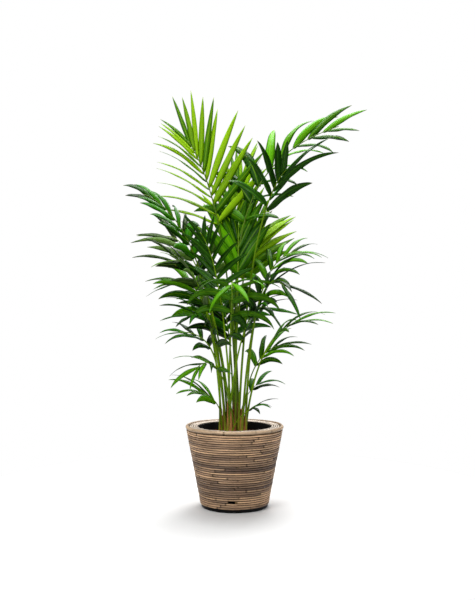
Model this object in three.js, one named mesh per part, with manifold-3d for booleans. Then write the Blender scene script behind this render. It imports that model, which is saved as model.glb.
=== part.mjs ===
// A kentia palm in a round, tapered rattan basket. Millimetres, +Z up, origin at the middle of the
// basket's foot. The basket stands on its base board. Battens join the board to a ring under the
// rim, and the canes are nailed to them. A plastic pot inside holds the soil and four young palms.
import * as THREE from "three";
import { mergeVertices } from "three/addons/utils/BufferGeometryUtils.js";
import Module from "manifold-3d";

// Driving dimensions.
const RIM_TOP = 303;
const RIM_RADIUS = 185;
const MOUTH_RADIUS = 139;
const WALL_TOP_RADIUS = 182.5;
const WALL_FOOT_RADIUS = 129.5;
const CANE = 8.2;
const EDGE_CANE = 15;
const RING_BOARD = 8;
const RIM_RINGS = 4;
const BATTENS = 8;
const BANDS = 8;
const BAND_LOW = 12;
const BAND_HIGH = 287;
const BOARD_RADIUS = 124;
const BOARD_HEIGHT = 10;
const POT_WALL = 3;
const POT_TOP = 296;
const POT_FOOT_RADIUS = 102;
const POT_OUTER = MOUTH_RADIUS - 0.6;
const SOIL_TOP = 270;
const GAP = 0.3;
const ROUND = 32; // flats on every turned piece, so that nested pieces keep an even gap
const FLAT = Math.cos(Math.PI / ROUND); // distance to the middle of a flat, over the radius

const wasm = await Module();
wasm.setup();
const UP = new THREE.Vector3(0, 0, 1);
const palm = new THREE.Group();

// --- Joining and cutting -----------------------------------------------------------------------

// A closed three.js geometry as a solid. Doubled corners are merged and flat triangles dropped.
function solid(geometry) {
  const bare = geometry.clone();
  bare.deleteAttribute("normal");
  bare.deleteAttribute("uv");
  const merged = mergeVertices(bare, 1e-4);
  const corners = merged.index.array;
  const kept = [];
  for (let i = 0; i < corners.length; i += 3) {
    const [a, b, c] = corners.slice(i, i + 3);
    if (a !== b && b !== c && c !== a) kept.push(a, b, c);
  }
  return new wasm.Manifold(
    new wasm.Mesh({
      numProp: 3,
      vertProperties: merged.attributes.position.array,
      triVerts: new Uint32Array(kept),
    }),
  );
}

// A solid back as a three.js geometry.
function geometryOf(made) {
  const mesh = made.getMesh();
  return new THREE.BufferGeometry()
    .setAttribute("position", new THREE.BufferAttribute(mesh.vertProperties, 3))
    .setIndex(new THREE.BufferAttribute(mesh.triVerts, 1));
}

function add(name, geometry, material) {
  const mesh = new THREE.Mesh(geometry, material);
  mesh.name = name;
  palm.add(mesh);
  return mesh;
}

// A profile of [radius, height] pairs, listed anticlockwise, turned about the upright axis.
function turned(profile) {
  const points = profile.map(([radius, height]) => new THREE.Vector2(radius, height));
  return new THREE.LatheGeometry(points, ROUND).rotateX(Math.PI / 2);
}

// --- Basket ------------------------------------------------------------------------------------

const blackPlastic = new THREE.MeshStandardMaterial({ color: 0x1b1c1d, roughness: 0.6 });
const cane = new THREE.MeshStandardMaterial({ color: 0xa58a68, roughness: 0.6 });
const paleCane = new THREE.MeshStandardMaterial({ color: 0xbfa27c, roughness: 0.55 });
const batten = new THREE.MeshStandardMaterial({ color: 0x9c7b52, roughness: 0.75 });

const WALL_SLOPE = (WALL_TOP_RADIUS - WALL_FOOT_RADIUS) / (BAND_HIGH - BAND_LOW);

function wallRadius(height) {
  return WALL_FOOT_RADIUS + WALL_SLOPE * (height - BAND_LOW);
}

// The base board is the only piece that touches the floor.
function baseBoard() {
  add(
    "base_board",
    turned([[0, 0], [BOARD_RADIUS, 0], [BOARD_RADIUS, BOARD_HEIGHT], [0, BOARD_HEIGHT], [0, 0]]),
    blackPlastic,
  );
}

// Each band is four or five rows of cane, nailed one above the other and worn round at its edges.
function caneBands() {
  const pitch = (BAND_HIGH - BAND_LOW) / BANDS;
  const bevel = 2.5;
  for (let i = 0; i < BANDS; i++) {
    const low = BAND_LOW + i * pitch + GAP / 2;
    const high = BAND_LOW + (i + 1) * pitch - GAP / 2;
    const profile = [
      [wallRadius(low) - CANE, low],
      [wallRadius(low) - bevel, low],
      [wallRadius(low + bevel), low + bevel],
      [wallRadius(high - bevel), high - bevel],
      [wallRadius(high) - bevel, high],
      [wallRadius(high) - CANE, high],
      [wallRadius(low) - CANE, low],
    ];
    add("cane_band_" + (i + 1), turned(profile), cane);
  }
}

// Battens lean with the wall, in the middle of every fourth flat, just inside the canes.
function battens(ringLow) {
  const thick = 6;
  const wide = 20;
  const lean = Math.atan(WALL_SLOPE);
  const low = BOARD_HEIGHT + GAP;
  const high = ringLow - GAP;
  const length = (high - low - thick * Math.sin(lean)) / Math.cos(lean);
  const middle = (low + high) / 2;
  const face = (wallRadius(middle) - CANE) * FLAT - GAP / Math.cos(lean);
  for (let i = 0; i < BATTENS; i++) {
    const mesh = add("batten_" + (i + 1), new THREE.BoxGeometry(thick, wide, length), batten);
    const turn = new THREE.Matrix4().makeRotationZ(((2 * Math.PI) / BATTENS) * i + Math.PI / ROUND);
    const place = new THREE.Matrix4().makeTranslation(face - thick / 2 / Math.cos(lean), 0, middle);
    const tilt = new THREE.Matrix4().makeRotationY(lean);
    mesh.geometry.applyMatrix4(turn.multiply(place).multiply(tilt));
  }
}

// The rim is a flat ring board under one thick edge cane and four thinner ones.
function rim() {
  const edge = EDGE_CANE / 2;
  const boardHigh = RIM_TOP - 11.5; // the thin canes lie 4 mm lower than the edge cane
  const boardLow = boardHigh - RING_BOARD;
  const boardOuter = RIM_RADIUS - EDGE_CANE - GAP;
  add(
    "rim_board",
    turned([
      [MOUTH_RADIUS + 1, boardLow],
      [boardOuter, boardLow],
      [boardOuter, boardHigh],
      [MOUTH_RADIUS + 1, boardHigh],
      [MOUTH_RADIUS + 1, boardLow],
    ]),
    batten,
  );
  add("rim_edge_cane", roundRing(RIM_RADIUS - edge, RIM_TOP - edge, edge, 8), paleCane);
  const pitch = (boardOuter - MOUTH_RADIUS - GAP) / RIM_RINGS;
  for (let i = 0; i < RIM_RINGS; i++) {
    const radius = MOUTH_RADIUS + GAP + pitch * (i + 0.5);
    const half = (pitch - GAP) / 2;
    add("rim_cane_" + (i + 1), roundRing(radius, boardHigh + GAP + half, half, 6), cane);
  }
  return boardLow;
}

// A cane bent into a ring: its section is a regular polygon with a flat underside.
function roundRing(radius, height, half, sides) {
  const profile = [];
  for (let i = 0; i <= sides; i++) {
    const angle = (2 * Math.PI * (i + 0.5)) / sides - Math.PI / 2;
    profile.push([radius + half * Math.cos(angle), height + half * Math.sin(angle)]);
  }
  return turned(profile);
}

// --- Pot and soil ------------------------------------------------------------------------------

const POT_LOW = BOARD_HEIGHT + GAP;
const POT_SLOPE = (POT_OUTER - POT_FOOT_RADIUS) / (POT_TOP - POT_LOW);

function potRadius(height) {
  return POT_FOOT_RADIUS + POT_SLOPE * (height - POT_LOW);
}

function innerPot() {
  const floor = POT_LOW + POT_WALL;
  add(
    "inner_pot",
    turned([
      [0, POT_LOW],
      [POT_FOOT_RADIUS, POT_LOW],
      [POT_OUTER, POT_TOP],
      [POT_OUTER - POT_WALL, POT_TOP],
      [potRadius(floor) - POT_WALL, floor],
      [0, floor],
      [0, POT_LOW],
    ]),
    blackPlastic,
  );
}

const earth = new THREE.MeshStandardMaterial({ color: 0x3a2418, roughness: 0.95 });

// The soil fills the pot to a flat top that falls a little at the wall. Each stem has its hole.
function soil(stems) {
  const low = POT_LOW + POT_WALL + GAP;
  const inside = POT_WALL + GAP / FLAT;
  const edge = SOIL_TOP - 5;
  let body = solid(
    turned([
      [0, low],
      [potRadius(low) - inside, low],
      [potRadius(edge) - inside, edge],
      [95, SOIL_TOP],
      [0, SOIL_TOP],
      [0, low],
    ]),
  );
  for (const stem of stems) body = body.subtract(solid(stemShape(stem, GAP)));
  add("soil", geometryOf(body), earth);
}

// --- Stems -------------------------------------------------------------------------------------

const STEMS = { left: [-40, 6], front: [-12, -22], back: [4, 28], right: [27, -6] };
const STEM_RING = 15; // leaf stalks leave the soil in a ring of this radius round their stem
const STEM_DEPTH = 24;
const STEM_RISE = 92;
const STEM_RADII = [9, 5.2];

const husk = new THREE.MeshStandardMaterial({ color: 0x8a5f3a, roughness: 0.85 });

// A short upright stem in old leaf sheaths, planted in the soil. grow widens it all round.
function stemShape([x, y], grow) {
  const [foot, head] = STEM_RADII;
  const height = STEM_DEPTH + STEM_RISE + grow;
  return new THREE.CylinderGeometry(head + grow, foot + grow, height, 8)
    .rotateX(Math.PI / 2)
    .translate(x, y, SOIL_TOP - STEM_DEPTH - grow + height / 2);
}

// --- Fronds ------------------------------------------------------------------------------------

// Each frond rises from the ring round a stem at the angle around, bends over its shoulder and ends
// at its tip. Leaflets grow in pairs from the share blade of its length to the tip. Pairs of values
// are for the two sides of the midrib: leaf is the leaflet length, droop how far it hangs, turn how
// far it twists. splay is the angle to the midrib, first and last. roll turns the whole blade, lift
// raises both sides into a V, wide is the widest leaflet, taper what it loses towards the tip.
const FRONDS = [
  { name: "top_left", stem: "back", around: 300, shoulder: [-50, 60, 1195], tip: [-185, 105, 1400],
    thick: 4.6, blade: 0.69, pairs: 11, leaf: [260, 340], wide: 31, taper: 0.45,
    roll: 66, lift: 4, splay: [54, 8], droop: [0.25, 0.03], turn: [60, 0] },
  { name: "top_right", stem: "back", around: 0, shoulder: [-70, 100, 1300], tip: [395, 0, 1430],
    thick: 4.6, blade: 0.6, pairs: 8, leaf: [270, 190], wide: 46, taper: 0.45,
    roll: -66, lift: 10, splay: [66, 12], droop: [0.42, 0.5], turn: [0, 50] },
  { name: "left_high", stem: "left", around: 60, shoulder: [-150, 0, 1100], tip: [-335, -80, 1160],
    thick: 4.6, blade: 0.62, pairs: 7, leaf: [205, 190], wide: 44, taper: 0.45,
    roll: 50, lift: 10, splay: [60, 16], droop: [0.35, 0.55], turn: [0, 0] },
  { name: "right_high", stem: "right", around: 210, shoulder: [85, -40, 1145], tip: [185, -170, 1235],
    thick: 4.6, blade: 0.83, pairs: 5, leaf: [310, 215], wide: 42, taper: 0.45,
    roll: 5, lift: 28, splay: [54, 20], droop: [0.3, 0.25], turn: [0, -55] },
  { name: "back_right", stem: "back", around: 120, shoulder: [10, 80, 920], tip: [115, 170, 1055],
    thick: 4.6, blade: 0.72, pairs: 7, leaf: [250, 250], wide: 38, taper: 0.45,
    roll: -60, lift: 6, splay: [40, 10], droop: [0.14, 0.14], turn: [0, 30] },
  { name: "back_lime", stem: "back", around: 60, shoulder: [-40, 140, 1065], tip: [30, 250, 1295],
    thick: 4.6, blade: 0.62, pairs: 9, leaf: [280, 280], wide: 34, taper: 0.45,
    roll: 0, lift: 10, splay: [34, 8], droop: [0.08, 0.08], turn: [0, 0] },
  { name: "back_dark", stem: "front", around: 30, shoulder: [15, 10, 900], tip: [15, 90, 1075],
    thick: 4.6, blade: 0.74, pairs: 5, leaf: [250, 250], wide: 46, taper: 0.45,
    roll: 0, lift: 10, splay: [32, 8], droop: [0.1, 0.1], turn: [0, 0] },
  { name: "centre_dark", stem: "front", around: 90, shoulder: [-60, -95, 940], tip: [-120, -215, 1005],
    thick: 4.6, blade: 0.64, pairs: 8, leaf: [170, 165], wide: 26, taper: 0.45,
    roll: 5, lift: 20, splay: [62, 16], droop: [0.2, 0.2], turn: [-45, -45] },
  { name: "left_mid", stem: "back", around: 180, shoulder: [-170, 50, 1090], tip: [-300, 90, 1010],
    thick: 4.6, blade: 0.66, pairs: 6, leaf: [200, 210], wide: 36, taper: 0.45,
    roll: 45, lift: 10, splay: [62, 16], droop: [0.3, 0.3], turn: [0, 0] },
  { name: "left_mid_low", stem: "left", around: 300, shoulder: [-140, -65, 970], tip: [-245, -150, 905],
    thick: 4.6, blade: 0.64, pairs: 6, leaf: [200, 200], wide: 34, taper: 0.45,
    roll: 35, lift: 10, splay: [62, 16], droop: [0.36, 0.36], turn: [0, 0] },
  { name: "left_low", stem: "left", around: 120, shoulder: [-120, 10, 915], tip: [-235, 60, 830],
    thick: 4.6, blade: 0.68, pairs: 5, leaf: [210, 210], wide: 32, taper: 0.45,
    roll: 30, lift: 10, splay: [62, 16], droop: [0.44, 0.44], turn: [0, 0] },
  { name: "right_mid", stem: "right", around: 330, shoulder: [90, 20, 955], tip: [250, 40, 960],
    thick: 4.6, blade: 0.66, pairs: 7, leaf: [190, 180], wide: 30, taper: 0.45,
    roll: -35, lift: 10, splay: [62, 16], droop: [0.45, 0.6], turn: [0, 20] },
  { name: "right_broad", stem: "right", around: 270, shoulder: [100, -60, 940], tip: [190, -160, 805],
    thick: 4.6, blade: 0.64, pairs: 5, leaf: [250, 250], wide: 32, taper: 0.45,
    roll: -25, lift: 10, splay: [50, 12], droop: [0.35, 0.5], turn: [0, 0] },
  { name: "front", stem: "front", around: 150, shoulder: [0, -150, 935], tip: [-10, -270, 800],
    thick: 4.6, blade: 0.66, pairs: 5, leaf: [215, 215], wide: 32, taper: 0.45,
    roll: 0, lift: 10, splay: [75, 25], droop: [0.75, 0.75], turn: [0, 0] },
  { name: "right_droop", stem: "right", around: 30, shoulder: [125, -5, 670], tip: [240, -60, 690],
    thick: 4.6, blade: 0.74, pairs: 3, leaf: [230, 230], wide: 26, taper: 0.45,
    roll: -20, lift: 10, splay: [45, 12], droop: [0.42, 0.42], turn: [0, 0] },
  { name: "left_droop", stem: "left", around: 0, shoulder: [-70, -50, 765], tip: [-170, -130, 710],
    thick: 4.6, blade: 0.62, pairs: 6, leaf: [190, 190], wide: 30, taper: 0.45,
    roll: 25, lift: 10, splay: [62, 16], droop: [0.5, 0.5], turn: [0, 0] },
  { name: "back_low", stem: "back", around: 240, shoulder: [-20, 65, 745], tip: [-70, 200, 800],
    thick: 4.6, blade: 0.6, pairs: 8, leaf: [230, 230], wide: 36, taper: 0.45,
    roll: 0, lift: 10, splay: [62, 16], droop: [0.4, 0.4], turn: [-40, -40] },
  { name: "left_small", stem: "left", around: 180, shoulder: [-50, 5, 655], tip: [-210, 20, 650],
    thick: 4.6, blade: 0.7, pairs: 4, leaf: [160, 160], wide: 28, taper: 0.45,
    roll: 20, lift: 10, splay: [62, 16], droop: [0.5, 0.5], turn: [0, 0] },
  { name: "right_low", stem: "right", around: 90, shoulder: [65, 10, 565], tip: [165, 20, 600],
    thick: 3.4, blade: 0.68, pairs: 4, leaf: [190, 190], wide: 26, taper: 0.45,
    roll: -25, lift: 10, splay: [50, 14], droop: [0.5, 0.5], turn: [0, 0] },
  { name: "left_arch", stem: "front", around: 330, shoulder: [-70, -115, 610], tip: [-145, -180, 515],
    thick: 3.2, blade: 0.66, pairs: 4, leaf: [160, 160], wide: 26, taper: 0.45,
    roll: 10, lift: 10, splay: [62, 16], droop: [0.6, 0.6], turn: [0, 0] },
  { name: "right_sprig", stem: "right", around: 150, shoulder: [35, 25, 425], tip: [105, 60, 460],
    thick: 2.4, blade: 0.74, pairs: 2, leaf: [130, 130], wide: 22, taper: 0.45,
    roll: -20, lift: 10, splay: [32, 12], droop: [0.5, 0.5], turn: [0, 0] },
  { name: "front_sprig", stem: "front", around: 270, shoulder: [25, -55, 350], tip: [80, -95, 385],
    thick: 2.4, blade: 0.74, pairs: 2, leaf: [115, 115], wide: 18, taper: 0.45,
    roll: -20, lift: 10, splay: [32, 12], droop: [0.5, 0.5], turn: [0, 0] },
  { name: "left_lowest", stem: "left", around: 240, shoulder: [-45, -20, 390], tip: [-120, -50, 430],
    thick: 3, blade: 0.64, pairs: 3, leaf: [185, 185], wide: 30, taper: 0.45,
    roll: 25, lift: 10, splay: [38, 16], droop: [0.38, 0.38], turn: [0, 0] },
  { name: "right_inner", stem: "front", around: 210, shoulder: [55, -45, 815], tip: [135, -120, 725],
    thick: 4.6, blade: 0.62, pairs: 6, leaf: [190, 190], wide: 30, taper: 0.45,
    roll: -20, lift: 10, splay: [62, 16], droop: [0.5, 0.5], turn: [0, 0] },
];

const STALK_SIDES = 5;
const STALK_STEPS = 10;
const LEAF_RINGS = 3;
const LEAF_THICK = 1;
const LEAF_ROOM = 0.5; // how far a leaflet is cut clear of another
const RIDGED = [[0, 1], [1, -0.5], [-1, -0.5]]; // a leaflet's own section: a midrib and two edges
const BOXED = [[-1, 1], [1, 1], [1, -0.5], [-1, -0.5]]; // the section of the room round a leaflet
const LEAF_PEAK = 0.422; // the highest value of the leaflet's outline formula below
const SPACING_POWER = 0.93; // leaflets stand a little closer towards the tip

const freshGreen = new THREE.MeshStandardMaterial({ color: 0x6f9d1e, roughness: 0.45 });
const deepGreen = new THREE.MeshStandardMaterial({ color: 0x1f5a1c, roughness: 0.4 });
const FRESH = ["top_left", "back_lime", "back_right", "front"];

// The curve of a frond's stalk and midrib, and the level direction across its blade.
function midrib(frond) {
  const [x, y] = STEMS[frond.stem];
  const angle = THREE.MathUtils.degToRad(frond.around);
  const base = new THREE.Vector3(
    x + STEM_RING * Math.cos(angle),
    y + STEM_RING * Math.sin(angle),
    SOIL_TOP + GAP,
  );
  const shoulder = new THREE.Vector3(...frond.shoulder);
  const tip = new THREE.Vector3(...frond.tip);
  const rise = shoulder.clone().sub(base).multiply(new THREE.Vector3(0.25, 0.25, 0.55)).add(base);
  const across = tip.clone().sub(shoulder).setZ(0).normalize().cross(UP);
  return { curve: new THREE.CubicBezierCurve3(base, rise, shoulder, tip), across };
}

// The midrib's place and axes at a share of its length from the soil.
function station({ curve, across }, share) {
  const along = curve.getTangentAt(share);
  const up = across.clone().cross(along).normalize();
  return { at: curve.getPointAt(share), along, up, side: along.clone().cross(up) };
}

// Moves every corner of a geometry to where the rule puts it.
function moved(geometry, rule) {
  const place = geometry.attributes.position;
  for (let i = 0; i < place.count; i++) {
    const to = rule(place.getX(i), place.getY(i), place.getZ(i));
    place.setXYZ(i, to.x, to.y, to.z);
  }
  return geometry;
}

// The leaf stalk and midrib: a cylinder bent along the curve, thinner towards the tip.
function stalkShape(frond, grow) {
  const line = midrib(frond);
  const radii = [frond.thick, 0.62 * frond.thick, 0.3 * frond.thick];
  const shape = new THREE.CylinderGeometry(1, 1, 1, STALK_SIDES, STALK_STEPS);
  return moved(shape, (x, y, z) => {
    const share = THREE.MathUtils.clamp(y + 0.5, 0, 1);
    const { at, side, up } = station(line, share);
    const radius =
      share < frond.blade
        ? THREE.MathUtils.mapLinear(share, 0, frond.blade, radii[0], radii[1])
        : THREE.MathUtils.mapLinear(share, frond.blade, 1, radii[1], radii[2]);
    const point = at
      .clone()
      .addScaledVector(side, x * (radius + grow))
      .addScaledVector(up, z * (radius + grow));
    if (share === 0) point.setZ(at.z - grow); // the foot is cut level with the soil
    return point;
  });
}

// A point on the stalk as it is made, which is straight between its steps.
function onStalk({ curve }, share) {
  const step = Math.floor(share * STALK_STEPS);
  const from = curve.getPointAt(step / STALK_STEPS);
  const to = curve.getPointAt((step + 1) / STALK_STEPS);
  return from.lerp(to, share * STALK_STEPS - step);
}

// Where each leaflet of a frond starts, the way it leaves, the way its width lies, and its sizes.
function leafletPlan(frond) {
  const line = midrib(frond);
  const rad = THREE.MathUtils.degToRad;
  const roll = rad(frond.roll);
  const lift = rad(frond.lift);
  const plan = [];
  for (const sign of [-1, 1]) {
    const hand = sign < 0 ? 0 : 1;
    for (let i = 0; i < frond.pairs; i++) {
      const s = (i / frond.pairs) ** SPACING_POWER;
      const stagger = hand * 0.25 * (1 / frond.pairs);
      const share = frond.blade + (1 - frond.blade) * (s + stagger);
      const { along, up, side } = station(line, share);
      const flat = side.clone().multiplyScalar(Math.cos(roll)).addScaledVector(up, Math.sin(roll));
      const face = up.clone().multiplyScalar(Math.cos(roll)).addScaledVector(side, -Math.sin(roll));
      const splay = rad(THREE.MathUtils.lerp(...frond.splay, s ** 0.9));
      const out = along
        .clone()
        .multiplyScalar(Math.cos(splay))
        .addScaledVector(flat, sign * Math.cos(lift) * Math.sin(splay))
        .addScaledVector(face, Math.sin(lift) * Math.sin(splay));
      const wide = along
        .clone()
        .addScaledVector(out, -along.dot(out))
        .normalize()
        .multiplyScalar(sign)
        .applyAxisAngle(out, -sign * rad(frond.turn[hand]) * (1 - s ** 3));
      plan.push({
        at: onStalk(line, share),
        out,
        wide,
        length: frond.leaf[hand] * (0.86 + 0.5 * s - 0.78 * s * s),
        width: frond.wide * (1 - frond.taper * s),
        droop: frond.droop[hand] * (1 - 0.6 * s ** 4),
      });
    }
  }
  return plan;
}

// A leaflet: a sphere of a few sides drawn out along a line that falls towards straight down. A
// section lists its corners as shares of half the width and of the thickness. grow widens it.
function leafletShape({ at, out, wide, length, width, droop }, section, grow) {
  const down = UP.clone().negate();
  const hinge = out.clone().cross(down).normalize();
  const fall = droop * out.angleTo(down);
  const bent = (vector, u) => vector.clone().applyAxisAngle(hinge, fall * u ** 1.5);
  const steps = 4 * LEAF_RINGS;
  const full = length + 2 * grow;
  const line = [at.clone().addScaledVector(out, -grow)];
  for (let i = 0; i < steps; i++) {
    line.push(line[i].clone().addScaledVector(bent(out, (i + 0.5) / steps), full / steps));
  }
  const shape = new THREE.SphereGeometry(1, section.length, LEAF_RINGS);
  return moved(shape, (x, y, z) => {
    const u = Math.acos(THREE.MathUtils.clamp(y, -1, 1)) / Math.PI;
    const point = line[Math.round(u * steps)].clone();
    if (Math.hypot(x, z) < 1e-6) return point;
    const turns = Math.atan2(z, -x) / (2 * Math.PI) + 1;
    const [across, over] = section[Math.round(turns * section.length) % section.length];
    const outline = (Math.sqrt(u + 0.02) * (1 - u) ** 0.85) / LEAF_PEAK;
    const flat = bent(wide, u);
    const face = bent(out, u).cross(flat);
    return point
      .addScaledVector(flat, across * ((width * outline) / 2 + grow))
      .addScaledVector(face, over * (LEAF_THICK + grow));
  });
}

function bladeOf(frond, section, grow) {
  return leafletPlan(frond)
    .map((leaflet) => solid(leafletShape(leaflet, section, grow)))
    .reduce((whole, part) => whole.add(part));
}

// Leaflets that would cross another frond are cut short of it, and what falls loose is left out.
function fronds() {
  const stalks = FRONDS.map((frond) => solid(stalkShape(frond, GAP)));
  const grown = [];
  FRONDS.forEach((frond, i) => {
    let blade = bladeOf(frond, RIDGED, 0);
    stalks.forEach((stalk, j) => {
      if (j !== i) blade = blade.subtract(stalk);
    });
    for (const other of grown) blade = blade.subtract(other);
    const whole = solid(stalkShape(frond, 0)).add(blade);
    const largest = whole.decompose().reduce((a, b) => (b.volume() > a.volume() ? b : a));
    const green = FRESH.includes(frond.name) ? freshGreen : deepGreen;
    add("frond_" + frond.name, geometryOf(largest), green);
    grown.push(bladeOf(frond, BOXED, LEAF_ROOM));
  });
}

// --- Assembly ----------------------------------------------------------------------------------

baseBoard();
caneBands();
battens(rim());
innerPot();
soil(Object.values(STEMS));
for (const [name, place] of Object.entries(STEMS)) add("stem_" + name, stemShape(place, 0), husk);
fronds();

export default palm;
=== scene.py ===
"""A kentia palm in a round, tapered rattan basket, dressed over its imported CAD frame.

Metres, +Z up, origin at the middle of the basket's foot. Sizes are written in millimetres and
turned to metres by MM. Every piece rides on the one body, "root".
"""

import bpy
import numpy as np
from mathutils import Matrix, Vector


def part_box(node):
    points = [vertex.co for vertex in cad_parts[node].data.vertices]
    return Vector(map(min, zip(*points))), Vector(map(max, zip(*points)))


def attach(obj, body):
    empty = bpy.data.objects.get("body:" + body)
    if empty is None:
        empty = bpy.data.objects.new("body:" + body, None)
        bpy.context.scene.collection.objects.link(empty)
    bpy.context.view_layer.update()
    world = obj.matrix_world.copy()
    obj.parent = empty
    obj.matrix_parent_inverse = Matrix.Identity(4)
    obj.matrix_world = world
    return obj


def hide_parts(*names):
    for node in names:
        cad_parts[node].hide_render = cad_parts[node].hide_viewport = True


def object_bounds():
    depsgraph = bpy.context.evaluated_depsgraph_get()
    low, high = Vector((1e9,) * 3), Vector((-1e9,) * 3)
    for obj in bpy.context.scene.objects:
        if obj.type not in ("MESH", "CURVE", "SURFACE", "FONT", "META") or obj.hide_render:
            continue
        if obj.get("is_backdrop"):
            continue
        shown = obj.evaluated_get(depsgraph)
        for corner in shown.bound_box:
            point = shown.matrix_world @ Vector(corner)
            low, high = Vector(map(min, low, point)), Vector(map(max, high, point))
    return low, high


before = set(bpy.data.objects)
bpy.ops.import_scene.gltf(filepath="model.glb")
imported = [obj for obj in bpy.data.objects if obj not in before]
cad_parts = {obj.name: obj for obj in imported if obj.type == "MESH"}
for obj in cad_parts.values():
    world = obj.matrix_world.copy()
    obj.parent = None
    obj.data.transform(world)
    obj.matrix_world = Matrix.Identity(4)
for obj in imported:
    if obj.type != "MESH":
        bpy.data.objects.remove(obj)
cad_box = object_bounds()
MM = 0.001

# --- Camera --------------------------------------------------------------------------------------
# A camera at 0.72 m, straight in front of the basket and tilted up by about one degree. Its short
# portrait lens keeps the rim a narrow ellipse and the top fronds unstretched.
lens = bpy.data.cameras.new("camera")
lens.lens = 48
lens.sensor_width = 36
camera = bpy.data.objects.new("camera", lens)
camera.location = (0.011, -3.020, 0.7215)
camera.rotation_euler = (np.radians(90.95), 0, 0)
bpy.context.collection.objects.link(camera)
bpy.context.scene.camera = camera


# --- Base board ----------------------------------------------------------------------------------
# A round black board of moulded ABS, a little smaller than the wall above it. It is the only
# piece that touches the floor, so its lower edge is eased.
def linear(code):
    """A hex sRGB colour as a linear RGBA colour."""
    part = np.array([int(code[i : i + 2], 16) for i in (1, 3, 5)]) / 255
    flat = np.where(part < 0.04045, part / 12.92, ((part + 0.055) / 1.055) ** 2.4)
    return (*flat.tolist(), 1.0)


def node(tree, kind, inputs=(), **settings):
    """Adds a node with its settings.

    Inputs are a dictionary by name or place, or a list in the node's own order. An input that is a
    socket is linked, any other is a value.
    """
    made = tree.nodes.new("ShaderNode" + kind)
    for key, value in settings.items():
        setattr(made, key, value)
    for key, value in inputs.items() if isinstance(inputs, dict) else enumerate(inputs):
        if isinstance(value, bpy.types.NodeSocket):
            tree.links.new(value, made.inputs[key])
        else:
            made.inputs[key].default_value = value
    return made


def blank(name):
    """A new material, and its node tree, which is empty."""
    material = bpy.data.materials.new(name)
    material.use_nodes = True
    material.node_tree.nodes.clear()
    return material, material.node_tree


def stacked(*parts):
    """Arrays of shapes that fit each other as one array of points or vectors."""
    return np.stack(np.broadcast_arrays(*parts), -1)


def tube(rings, sides, copies=1):
    """Faces of copies of a tube of rings x sides points.

    Point (ring i, side j) joins (i, j+1), (i+1, j+1) and (i+1, j). The sides run anticlockwise as
    seen from the last ring. Each tube is capped by one flat face at each end.
    """
    i, j = np.meshgrid(np.arange(rings - 1), np.arange(sides), indexing="ij")
    corner = [(i, j), (i, j + 1), (i + 1, j + 1), (i + 1, j)]
    quads = np.stack([a * sides + b % sides for a, b in corner], -1).reshape(-1, 4)
    starts = np.arange(copies)[:, None, None] * rings * sides
    ring = np.arange(sides)
    faces = (quads + starts).reshape(-1, 4).tolist()
    faces += (ring[::-1] + starts[:, 0]).tolist()
    faces += (ring + (rings - 1) * sides + starts[:, 0]).tolist()
    return faces


def piece(name, points, faces, finishes, nodes, slot, finish_of=None, **layers):
    """A smooth mesh piece in place of CAD nodes. layers are values or vectors for every point."""
    mesh = bpy.data.meshes.new(name)
    mesh.from_pydata(points.reshape(-1, 3), [], faces)
    sizes = np.array([len(face) for face in faces])
    mesh.polygons.foreach_set("use_smooth", sizes == 4)
    if finish_of is not None:
        mesh.polygons.foreach_set("material_index", finish_of)
    for key, values in layers.items():
        vector = values.ndim > 1 and values.shape[-1] == 3
        layer = mesh.attributes.new(key, "FLOAT_VECTOR" if vector else "FLOAT", "POINT")
        layer.data.foreach_set("vector" if vector else "value", values.ravel())
    for finish in finishes:
        mesh.materials.append(finish)
    mesh.update()
    made = bpy.data.objects.new(name, mesh)
    bpy.context.collection.objects.link(made)
    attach(made, "root")
    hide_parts(*nodes)


ROUND_SIDES = 128


def turned(profile):
    """Points of a profile of (radius, height) pairs turned about the upright axis."""
    angle = np.linspace(0, 2 * np.pi, ROUND_SIDES, endpoint=False)
    radius, height = profile.T[..., None]
    return stacked(radius * np.cos(angle), radius * np.sin(angle), height)


def arc(radius, height, bend, first, last, count):
    """Points of a profile on an arc: its centre, its own radius bend, and its ends in degrees."""
    angle = np.radians(np.linspace(first, last, count))
    return stacked(radius + bend * np.cos(angle), height + bend * np.sin(angle))


# A Map Range eased at both ends takes its value, the range it comes from and the range it goes to.
# A Mix of colours takes its share at 0, its colours at 6 and 7, and gives the mixed one at 2.
EASED = {"interpolation_type": "SMOOTHSTEP"}
COLOURS = {"data_type": "RGBA"}

# Black moulded ABS: a fine orange-peel skin and a satin gloss, duller where dust has settled.
black_plastic, tree = blank("black_moulded_plastic")
where = node(tree, "TexCoord").outputs["Object"]
dust = node(tree, "TexNoise", {"Vector": where, "Scale": 45.0, "Detail": 4.0}).outputs["Fac"]
peel = node(tree, "TexNoise", {"Vector": where, "Scale": 900.0, "Detail": 1.0}).outputs["Fac"]
dusty = node(tree, "MapRange", [dust, 0.45, 0.75], **EASED).outputs[0]
black = node(tree, "Mix", {0: dusty, 6: linear("#020202"), 7: linear("#070706")}, **COLOURS)
skin = {
    "Base Color": black.outputs[2],
    "Roughness": node(tree, "MapRange", [dust, 0.3, 0.7, 0.36, 0.55], **EASED).outputs[0],
    "IOR": 1.25,
    "Normal": node(tree, "Bump", {"Height": peel, "Strength": 0.15, "Distance": 0.0003}).outputs[0],
}
shader = node(tree, "BsdfPrincipled", skin)
node(tree, "OutputMaterial", {"Surface": shader.outputs[0]})

low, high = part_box("base_board")
board_radius, board_top = high[0], high[2]
EASE = 2.0 * MM
profile = np.concatenate(
    [
        arc(board_radius - EASE, EASE, EASE, -90, 0, 5),
        arc(board_radius - EASE / 2, board_top - EASE / 2, EASE / 2, 0, 90, 5),
    ]
)
faces = tube(len(profile), ROUND_SIDES)
piece("foot_board", turned(profile), faces, [black_plastic], ["base_board"], "black_plastic")

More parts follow.
